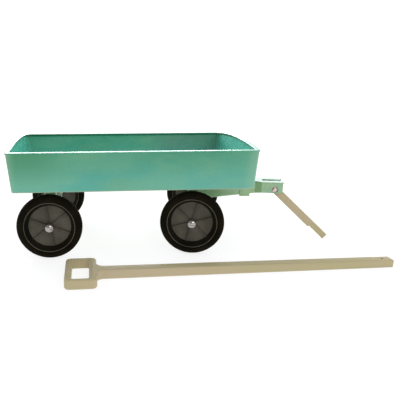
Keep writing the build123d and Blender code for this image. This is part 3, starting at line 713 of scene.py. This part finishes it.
def rib_rings(web):
    """A rib along +X as four outlines, the outer two drawn in a little."""
    inner, outer, tip = HUB_R - 1, WEB_R - 1.5, WEB_R + 3.4
    outline = rounded(
        [
            (inner, web - RIB_HALF, 0), (outer, web - RIB_HALF, 0.8), (tip, web - RIB_HALF + 4, 0),
            (tip, web + RIB_HALF - 4, 0), (outer, web + RIB_HALF, 0.8), (inner, web + RIB_HALF, 0),
        ],
        3,
    )
    rings = []
    half = RIB_T / 2
    for z, pull in ((-half, 0.35), (0.3 - half, 0.0), (half - 0.3, 0.0), (half, 0.35)):
        rings.append([(x, y - pull if y > web else y + pull, z) for x, y in outline])
    return rings


def disc_mesh(side):
    """Draws a disc with its barrel marked with index 1, for the darker copy of the plastic that
    paints shade in it; side is 1 for a left wheel.
    """
    def build(bm):
        web = -side * WEB_SHIFT
        lathe(bm, disc_outline(web))
        for face in bm.faces:
            centre = face.calc_center_median()
            face.material_index = int(WEB_R < hypot(centre.x, centre.z) < BEAD_R - RING_W)
        for i in range(RIBS):
            turn = Matrix.Rotation(i * 2 * pi / RIBS, 4, "Y")
            loft(bm, [[turn @ Vector(point) for point in ring] for ring in rib_rings(web)])

    return build


def add_wheel(name):
    """Tyre and disc of one wheel, on the place and axis of its joint."""
    joint = JOINTS[f"{name}_spin"]
    side = 1 if name.endswith("left") else -1
    turn = 0 if name.startswith("rear") else steer_turn
    place = (
        Matrix.Translation(joint["pos_m"])
        @ Matrix.Rotation(turn, 4, "Z")
        @ Matrix.Rotation(radians(SPINS[name]), 4, "Y")
        @ MM
    )
    tyre = smooth(make_object(f"{name}_tyre_rubber", tyre_mesh, place), 45)
    disc = smooth(make_object(f"{name}_wheel_disc", disc_mesh(side), place), 40)
    body = f"{name}_wheel"
    finish_piece(tyre, body, MATERIALS["tyre_rubber"], "tyre_rubber", f"{name}_tyre")
    two_looks(
        disc, body, MATERIALS["wheel_plastic"], barrel_painted_shade, "wheel_plastic", f"{name}_disc"
    )


# ---- axle caps ----
CAP_R, CAP_H, CAP_RIM = 10.3, 6.8, 2.6
END_PLAY, WASHER_T = 0.3, 1.2


def caps_mesh(bm):
    """The two push caps of an axle: a rolled rim and a smooth dome."""
    near = TRACK / 2 + HUB_HALF + END_PLAY + WASHER_T
    dome_h = CAP_H - CAP_RIM
    ball = (CAP_R**2 + dome_h**2) / (2 * dome_h)
    reach = asin(CAP_R / ball)
    profile = [
        (CAP_R - 0.7, 0.0), (CAP_R - 0.2, 0.15), (CAP_R, 0.6), (CAP_R, CAP_RIM - 0.5),
        (CAP_R - 0.12, CAP_RIM - 0.05),
    ]
    for i in range(1, 14):
        a = reach * (1 - i / 14) * 0.985
        profile.append((ball * sin(a), CAP_H - ball + ball * cos(a)))
    for side in (-1, 1):
        outwards = Matrix.Rotation(-side * pi / 2, 4, "X")
        spindle(bm, profile, 64, Matrix.Translation((0, side * near, AXLE_Z)) @ outwards)


def add_caps():
    for name, place, body in (("rear", CART, "cart"), ("front", STEER, "steering")):
        caps = smooth(make_object(f"{name}_push_caps", caps_mesh, place), 50)
        finish_piece(caps, body, MATERIALS["chrome_caps"], "chrome_caps", f"{name}_axle_caps")


# ---- drawbar ----
FACE = BOLSTER_W / 2
ARM_HALF, ARM_REAR = 18.0, -26.0
ARM_TOP, ARM_ROOT, ARM_TIP, NOTCH = DECK - 6.8, DECK - 65.6, DECK - 44.6, DECK - 37.6
BAND_REAR, BAND_FRONT, BAND_LOW, BAND_TOP, BAND_PROUD = 129.0, 156.0, DECK - 52.6, DECK - 18.6, 1.5
SHANK_REAR, SHANK_HALF, SHANK_LOW, SHANK_TOP = 84.0, 9.0, DECK - 37.6, DECK - 15.6
FORK_HALF, FORK_TOP, FORK_LOW = 28.0, DECK - 8.6, DECK - 38.6
NECK_HALF, NECK_FRONT, NECK_LOW = 16.0, 170.0, DECK - 42.4
FORK_REAR, FORK_FRONT, SLOT_REAR = 186.0, 242.0, 190.0
LIP, LIP_H, SHANK_GAP = 1.6, 2.4, 0.1
SINK_R, SINK_DEPTH = 9.0, 4.0
PIVOT_R, KINGPIN_R = 4.0, 5.05
CROSS_SCREWS, CROSS_SCREW_Z, CROSS_BORE_R = (96.0, 118.0), DECK - 26.6, 2.6
BEYOND = 9.0                                        # how far a cutter runs past what it cuts


def cross_bores():
    """The bores for the screws through arm and shank."""
    return [cylinder(CROSS_BORE_R, -30, 30, "Y", (s, CROSS_SCREW_Z), 32) for s in CROSS_SCREWS]


def arm_mesh(bm):
    outline = [
        (ARM_REAR, NOTCH), (FACE, NOTCH), (FACE, ARM_ROOT), (BAND_FRONT, ARM_TIP),
        (BAND_FRONT, ARM_TOP), (ARM_REAR, ARM_TOP),
    ]
    prism(bm, outline, -ARM_HALF, ARM_HALF)


def band_mesh(bm):
    outline = [
        (BAND_REAR, BAND_LOW), (BAND_FRONT, BAND_LOW + 1), (BAND_FRONT, BAND_TOP),
        (BAND_REAR, BAND_TOP),
    ]
    prism(bm, outline, -ARM_HALF - BAND_PROUD, ARM_HALF + BAND_PROUD)


def add_arm():
    arm = soften(make_object("steering_arm_moulding", arm_mesh, STEER), 2.0)
    band = soften(make_object("band", band_mesh, STEER), 0.8)
    combine(arm, [band], "UNION")
    pocket = slab(SHANK_REAR, BAND_FRONT + 1, -SHANK_HALF, SHANK_HALF, SHANK_LOW, SHANK_TOP)
    kingpin_bore = cylinder(KINGPIN_R, NOTCH - 1, ARM_TOP + 1, "Z")
    cut(arm, STEER, pocket, kingpin_bore, *cross_bores())
    smooth(arm, 32)
    finish_piece(arm, "steering", MATERIALS["chassis_plastic"], "chassis_plastic", "steering_arm")


def fork_sections(wider, low_cut, longer):
    """Upright rectangles along the fork: neck, widening and cheeks, or the lip around its top."""
    stations = [
        (BAND_FRONT, NECK_HALF, ARM_TIP), (NECK_FRONT, NECK_HALF, NECK_LOW),
        (FORK_REAR, FORK_HALF, FORK_LOW), (FORK_FRONT + longer, FORK_HALF, FORK_LOW),
    ]
    rings = []
    for s, half, low in stations:
        half, low = half + wider, low_cut or low
        rings.append([(s, -half, low), (s, half, low), (s, half, FORK_TOP), (s, -half, FORK_TOP)])
    return rings


def add_fork():
    sections = fork_sections(0, None, 0)
    fork = make_object("drawbar_fork_moulding", lambda bm: loft(bm, sections), STEER)
    lip_low = FORK_TOP - LIP_H
    lip = make_object("lip", lambda bm: loft(bm, fork_sections(LIP, lip_low, LIP)), STEER)
    combine(fork, [lip], "UNION")
    slot = TONGUE_W / 2 + GAP
    low, high = FORK_LOW - BEYOND, FORK_TOP + BEYOND
    cut(fork, STEER, slab(SLOT_REAR, FORK_FRONT + BEYOND, -slot, slot, low, high))
    soften(fork, 0.9)
    at = (PIVOT_S, PIVOT_Z)
    reach = 2 * FORK_HALF
    sinks = [
        cylinder(SINK_R, FORK_HALF - SINK_DEPTH, reach, "Y", at),
        cylinder(SINK_R, -reach, -FORK_HALF + SINK_DEPTH, "Y", at),
    ]
    cut(fork, STEER, cylinder(PIVOT_R + 0.1, -reach, reach, "Y", at), *sinks)
    half = SHANK_HALF - SHANK_GAP
    shank = slab(
        SHANK_REAR + 0.3, BAND_FRONT + 1, -half, half, SHANK_LOW + SHANK_GAP, SHANK_TOP - SHANK_GAP
    )
    combine(fork, [make_object("shank", shank, STEER)], "UNION")
    cut(fork, STEER, *cross_bores())
    smooth(fork, 32)
    finish_piece(fork, "steering", MATERIALS["chassis_plastic"], "chassis_plastic", "drawbar_fork")


# ---- tongue ----
TONGUE_BUSH_R, STEP_SLOPE = 6.0, 3.0


def tongue_mesh(bm):
    """The side outline: a round eye, a straight bar and a thinner spigot."""
    half = TONGUE_H / 2
    step = TONGUE_LENGTH - SPIGOT_LENGTH
    outline = arc(0, 0, half, 90, 270, 20) + [
        (step, -half), (step + STEP_SLOPE, -TIP_LOW), (TONGUE_LENGTH, -TIP_LOW),
        (TONGUE_LENGTH, half),
    ]
    prism(bm, outline, -TONGUE_W / 2, TONGUE_W / 2)


def add_tongue():
    tongue = make_object("tongue_bar", tongue_mesh, TONGUE)
    near, far = TONGUE_W / 2 - SPIGOT_CHEEK, TONGUE_W
    start, end = TONGUE_LENGTH - SPIGOT_LENGTH + STEP_SLOPE, TONGUE_LENGTH + 1
    cheeks = [slab(start, end, near, far, -far, far), slab(start, end, -far, -near, -far, far)]
    cut(tongue, TONGUE, *cheeks)
    soften(tongue, 1.8, 4)
    snap = cylinder(SNAP_R, -far, far, "Z", (TONGUE_LENGTH - SNAP_SETBACK, 0), 40)
    cut(tongue, TONGUE, cylinder(TONGUE_BUSH_R, -far, far), snap)
    smooth(tongue, 32)
    finish_piece(tongue, "tongue_link", MATERIALS["handle_plastic"], "handle_plastic", "tongue")


# ---- pull handle ----
GRIP_END_BAR, GRIP_NECK_BAR, GRIP_SIDE_BAR, GRIP_HOLE_R = 14.5, 17.5, 11.0, 5.0
NECK_R = 17.0
GRIP_EDGE_R, SHAFT_EDGE_R, HOLE_EDGE_R = 4.0, 2.5, 1.2
DISH, DISH_DEPTH = 4.5, 1.0
SOCKET_GAP = 0.25


def handle_side():
    """The plan's left edge, from the grip's outer corner to the far end, and the grip's share."""
    half, slim, tip, c = GRIP_WIDTH / 2, HANDLE_W / 2, HANDLE_END_W / 2, GRIP_CORNER
    inner_x, inner_y = GRIP_LENGTH - c, half - c
    grip = arc(c, inner_y, c, 180, 90, 10)
    grip += [(c + (inner_x - c) * i / 5, half) for i in range(1, 5)]
    grip += arc(inner_x, inner_y, c, 90, 0, 10)
    grip += [(GRIP_LENGTH, inner_y - (inner_y - slim - NECK_R) * i / 3) for i in (1, 2)]
    neck_end = GRIP_LENGTH + NECK_R
    neck = arc(neck_end, slim + NECK_R, NECK_R, 180, 270, 10)
    bar = []
    for i in range(1, 29):
        share = i / 28
        bar.append((neck_end + (HANDLE_LENGTH - neck_end) * share, slim + (tip - slim) * share))
    return grip + neck + bar, len(grip) + 1


def ease(x, start, end):
    """0 before start, 1 after end, and smooth between them."""
    share = min(max((x - start) / (end - start), 0), 1)
    return share * share * (3 - 2 * share)


def handle_top(x):
    """Height of the handle's top: a level grip that falls to a slightly tapering bar."""
    slope = (HANDLE_H - HANDLE_END_H) / (HANDLE_LENGTH - GRIP_LENGTH)
    bar = HANDLE_H - slope * (x - GRIP_LENGTH)
    share = ease(x, GRIP_LENGTH, GRIP_LENGTH + NECK_R + 4)
    return GRIP_H + (bar - GRIP_H) * share


def inward(points):
    """For each point of a closed outline, the shift that draws both neighbouring edges in by 1."""
    shifts = []
    for i, point in enumerate(points):
        before = (point - points[i - 1]).normalized()
        after = (points[(i + 1) % len(points)] - point).normalized()
        normal = Vector((before.y + after.y, -before.x - after.x)).normalized()
        shifts.append(normal / max(normal.dot(Vector((after.y, -after.x))), 0.4))
    return shifts


def handle_mesh(bm):
    """Rounded edges all along; the two level faces are the grip's polygon and the bar's quads."""
    left, grip_count = handle_side()
    outline = [Vector(p) for p in left] + [Vector((x, -y)) for x, y in reversed(left)]
    shifts = inward(outline)
    slimmer = SHAFT_EDGE_R - GRIP_EDGE_R
    radii = [GRIP_EDGE_R + slimmer * ease(p.x, GRIP_LENGTH - 6, 92) for p in outline]
    rings = []
    for upper in (False, True):
        for k in range(6):
            a = radians(90 * (5 - k if upper else k) / 5)
            ring = []
            for p, shift, r in zip(outline, shifts, radii):
                q = p + shift * r * (1 - sin(a))
                lift = r * (1 - cos(a))
                ring.append((q.x, q.y, handle_top(p.x) - lift if upper else lift))
            rings.append(ring)
    loops = loft(bm, rings, caps=False)
    count = len(left)
    for loop in (loops[0], loops[-1]):
        right = loop[count:][::-1]
        bm.faces.new(loop[:grip_count] + right[:grip_count][::-1])
        for i in range(grip_count - 1, count - 1):
            bm.faces.new((loop[i], loop[i + 1], right[i + 1], right[i]))


def grip_hole(bm):
    """A cutter with round corners and edges: it leaves a shallow dish around the hole on top."""
    half = GRIP_WIDTH / 2 - GRIP_SIDE_BAR
    x0, x1, r = GRIP_END_BAR, GRIP_LENGTH - GRIP_NECK_BAR, GRIP_HOLE_R
    edge = []
    for k in range(6):
        a = radians(90 * k / 5)
        edge.append((HOLE_EDGE_R * (1 - cos(a)), HOLE_EDGE_R * (1 - sin(a))))
    dish = [(-1.0, DISH + 0.5), (0.0, DISH + 0.5), (0.4, DISH), (DISH_DEPTH - 0.2, DISH - 0.4)]
    dish += [(DISH_DEPTH + z, grow) for z, grow in edge]
    levels = [(-1.0, HOLE_EDGE_R)] + edge + [(GRIP_H - z, grow) for z, grow in reversed(dish)]
    rings = []
    for z, grow in levels:
        corners = [
            (x0 - grow, -half - grow, r + grow), (x1 + grow, -half - grow, r + grow),
            (x1 + grow, half + grow, r + grow), (x0 - grow, half + grow, r + grow),
        ]
        rings.append([(x, y, z) for x, y in rounded(corners, 6)])
    loft(bm, rings)


def add_handle():
    handle = make_object("pull_handle_moulding", handle_mesh, HANDLE)
    end = HANDLE_LENGTH
    pad_z = HANDLE_END_H - PAD_DEPTH
    half = TONGUE_W / 2 - SPIGOT_CHEEK + SOCKET_GAP
    low = (pad_z - TONGUE_H + SPIGOT_STEP) / 2 - SOCKET_GAP
    above = pad_z + BEYOND
    cut(
        handle, HANDLE, grip_hole,
        slab(end - PAD_LENGTH, end + 1, -HANDLE_W, HANDLE_W, pad_z, above),
        slab(end - SOCKET_DEPTH, end + 1, -half, half, low, pad_z - low),
        cylinder(SNAP_R, pad_z / 2, above, "Z", (end - SNAP_SETBACK, 0), 40),
    )
    soften(handle, 0.5, 2, 40)
    finish_piece(handle, "handle", MATERIALS["handle_plastic"], "handle_plastic", "pull_handle")


# ---- bolts and screws ----
HEAD_Z = DECK + FLOOR_T + BOSS_H
M4_R, M5_R, M6_R = 2.0, 2.5, 3.0
# radius and height of each kind of head
M6_HEAD, PAN_HEAD, STRAP_HEAD = (7.0, 3.6), (4.2, 2.6), (4.0, 2.4)
CROSS_HEAD, KINGPIN_HEAD, CLEVIS_HEAD = (4.6, 2.6), (11.0, 6.0), (7.0, 5.4)
REAR_BOLTS = [(x, y) for x in (-24, 24) for y in (-80, 80)]
TURNTABLE_SCREWS = arc(WHEELBASE, 0, 36, 45, 315, 3)
STRAP_T, STRAP_Y, STRAP_SCREW_Z = 1.6, 100.0, (DECK - 68.6, DECK - 28.6)


def draw_bolt(bm, place, head, shank, socket=0.0, rim=0.8):
    """A domed head standing on Z = 0 above its shank, each (radius, length), with a hex socket."""
    head_r, head_h = head
    shank_r, shank_l = shank
    cap_h = head_h - rim
    ball = (head_r**2 + cap_h**2) / (2 * cap_h)
    rings = [
        ring_about_z(place, shank_r - 0.6, -shank_l), ring_about_z(place, shank_r, 0.6 - shank_l),
        ring_about_z(place, shank_r, 0), ring_about_z(place, head_r - 0.25, 0),
        ring_about_z(place, head_r, 0.25), ring_about_z(place, head_r, rim),
    ]
    for k in range(1, 9):
        r = head_r + (socket * 1.25 - head_r) * k / 8 if socket else head_r * (1 - k / 8.5)
        rings.append(ring_about_z(place, r, head_h - ball + sqrt(ball**2 - r * r)))
    if socket:
        top = head_h - ball + sqrt(ball**2 - socket**2) - 0.15
        rings.append(ring_about_z(place, socket, top, six=True))
        rings.append(ring_about_z(place, socket, top - 0.45 * head_h, six=True))
    loft(bm, rings)


def upright(x, y, z):
    """A place whose Z axis points up."""
    return Matrix.Translation((x, y, z))


def sideways(x, y, z, sign):
    """A place whose Z axis points along +X or -X."""
    return Matrix.Translation((x, y, z)) @ Matrix.Rotation(sign * pi / 2, 4, "Y")


def strap_screw_places():
    """Both faces of a bolster, at each end and height of the straps."""
    places = []
    for y in (-STRAP_Y, STRAP_Y):
        for z in STRAP_SCREW_Z:
            places += [sideways(sign * (FACE + STRAP_T), y, z, sign) for sign in (-1, 1)]
    return places


def add_bolts(name, body, place, heads, head, shank, socket, node, look=None, rim=0.8):
    """A set of equal bolts or screws, one at each place in heads."""
    def build(bm):
        for at in heads:
            draw_bolt(bm, at, head, shank, socket, rim)

    bolts = smooth(make_object(name, build, place), 32)
    finish_piece(bolts, body, look or MATERIALS["zinc_steel"], "zinc_steel", node)


def add_fasteners():
    """Every bolt and screw; each shank is (radius, length under the head)."""
    through_floor = HEAD_Z - DECK
    rear = [upright(x, y, HEAD_Z) for x, y in REAR_BOLTS]
    rear_shank = (M6_R, through_floor + 13)
    add_bolts("tub_bolts", "cart", CART, rear, M6_HEAD, rear_shank, 2.0, "rear_bolster_bolts")
    plate = [upright(x, y, HEAD_Z) for x, y in TURNTABLE_SCREWS]
    plate_shank = (M4_R, through_floor + 3)
    add_bolts("plate_screws", "cart", CART, plate, PAN_HEAD, plate_shank, 1.25, "turntable_screws")
    pin_z = HEAD_Z + 2                              # its head stands on a washer
    pin = [upright(WHEELBASE, 0, pin_z)]
    pin_shank = (KINGPIN_R - 0.05, pin_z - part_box("kingpin_bolt")[0].z * 1000)
    add_bolts("kingpin", "cart", CART, pin, KINGPIN_HEAD, pin_shank, 3.0, "kingpin_bolt", rim=1.4)
    for end, body, place in (("rear", "cart", CART), ("front", "steering", STEER)):
        add_bolts(
            f"{end}_pan_screws", body, place, strap_screw_places(), STRAP_HEAD, (M4_R, 12.0), 1.2,
            f"{end}_strap_screws",
        )
    turned = Matrix.Rotation(pi / 2, 4, "X")
    cross = [upright(s, -ARM_HALF, CROSS_SCREW_Z) @ turned for s in CROSS_SCREWS]
    add_bolts(
        "cross_screws", "steering", STEER, cross, CROSS_HEAD, (M5_R, 33.0), 1.4, "fork_screws"
    )
    seat = FORK_HALF - SINK_DEPTH + WASHER_T
    clevis = [upright(PIVOT_S, -seat, PIVOT_Z) @ turned]
    clevis_shank = (PIVOT_R, seat + FORK_HALF + 4.5)
    add_bolts(
        "clevis_pin", "steering", STEER, clevis, CLEVIS_HEAD, clevis_shank, 0.0, "clevis_bolt",
        copper_steel, 1.6,
    )


# ---- CAD nodes that keep their own shape ----
# how much their edges are rounded, by the last word of the name
EDGES = {
    "bolster": 1.2, "straps": 0.35, "nut": 0.5, "nuts": 0.4, "plate": 0.8, "washer": 0.25,
    "washers": 0.25, "spacers": 0.5, "bush": 0.3, "axle": 0.4,
}


def keep_nodes(shown):
    """Rounds the edges of the CAD nodes a little and gives them their materials."""
    slots = {row["node"]: row["material_slot"] for row in frame["record"]["subparts"]}
    for node in shown:
        obj = frame["nodes"][node]
        obj.data.materials.clear()
        obj.data.materials.append(MATERIALS[slots[node]])
        weld = obj.modifiers.new("weld", "WELD")
        weld.merge_threshold = 1e-5
        add_bevel(obj, EDGES[node.split("_")[-1]], 2, 40)


add_tub()
for wheel in SPINS:
    add_wheel(wheel)
add_caps()
add_arm()
add_fork()
add_tongue()
add_handle()
add_fasteners()
replaced = {n for o in bpy.context.scene.objects for n in o.get("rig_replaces", [])}
keep_nodes(sorted(set(frame["nodes"]) - replaced))


# ---- floor, light and camera ----
FLOOR_REACH = 60e3
LIGHTS = (
    # name, place, target, size, watts
    ("back_softbox", (-0.5, 2.4, 1.0), (0, 0, 0.15), (3.2, 1.3), 70),
    ("front_softbox", (0.7, -2.2, 1.5), (0, 0, 0.15), (2.0, 1.0), 18),
    ("light_table", (0, -0.3, 0.001), (0, -0.3, 1), (3.6, 3.0), 7),
)
BACK_GLOW, FRONT_GLOW = 1.05, 0.45
CAMERA_PLACE, CAMERA_TILT, CAMERA_TURN = (-0.2504, -1.1471, 0.4364), 74.74, -4.622
LENS, SHIFT_X, SHIFT_Y = 40.51, 0.177, 0.00125


def add_floor():
    """A wide pale floor that glows a little, like a light table."""
    ends = (-FLOOR_REACH, FLOOR_REACH)
    floor = make_object("floor", slab(*ends, *ends, -10, 0), MM)
    s = Shader(
        "floor", Base_Color=(0.26, 0.26, 0.27, 1), Roughness=0.9, Specular_IOR_Level=0.0,
        Emission_Color=(1, 1, 1, 1), Emission_Strength=0.8,
    )
    floor.data.materials.append(s.material)


def add_area(name, place, target, size, power):
    """A soft rectangular lamp, unseen by the camera."""
    light = bpy.data.lights.new(name, "AREA")
    light.shape = "RECTANGLE"
    light.size, light.size_y = size
    light.energy = power
    obj = bpy.data.objects.new(name, light)
    obj.location = place
    obj.rotation_euler = (Vector(target) - Vector(place)).to_track_quat("-Z", "Y").to_euler()
    obj.visible_camera = False
    bpy.context.scene.collection.objects.link(obj)


def add_world():
    """White behind the cart and along the horizon, and a dimmer room on the camera's side."""
    world = bpy.data.worlds.new("studio")
    world.use_nodes = True
    tree = world.node_tree
    background = tree.nodes["Background"]
    background.inputs["Color"].default_value = (1, 1, 1, 1)
    direction = tree.nodes.new("ShaderNodeTexCoord")
    split = tree.nodes.new("ShaderNodeSeparateXYZ")
    tree.links.new(direction.outputs["Generated"], split.inputs["Vector"])

    def fade(axis, *limits):
        step = tree.nodes.new("ShaderNodeMapRange")
        step.interpolation_type = "SMOOTHSTEP"
        for socket, value in zip(("From Min", "From Max", "To Min", "To Max"), limits):
            step.inputs[socket].default_value = value
        tree.links.new(split.outputs[axis], step.inputs["Value"])
        return step.outputs["Result"]

    brighter = tree.nodes.new("ShaderNodeMath")
    brighter.operation = "MAXIMUM"
    tree.links.new(fade("Y", -0.6, 0.25, FRONT_GLOW, BACK_GLOW), brighter.inputs[0])
    tree.links.new(fade("Z", 0.1, 0.35, BACK_GLOW, 0.0), brighter.inputs[1])
    tree.links.new(brighter.outputs[0], background.inputs["Strength"])
    bpy.context.scene.world = world


def add_camera():
    data = bpy.data.cameras.new("camera")
    data.sensor_width = 36
    data.lens = LENS
    data.shift_x = SHIFT_X
    data.shift_y = SHIFT_Y
    data.clip_end = 200
    camera = bpy.data.objects.new("camera", data)
    camera.location = CAMERA_PLACE
    camera.rotation_euler = (radians(CAMERA_TILT), 0, radians(CAMERA_TURN))
    bpy.context.scene.collection.objects.link(camera)
    bpy.context.scene.camera = camera


add_floor()
add_world()
for row in LIGHTS:
    add_area(*row)
add_camera()
bpy.context.scene.view_settings.view_transform = "Standard"
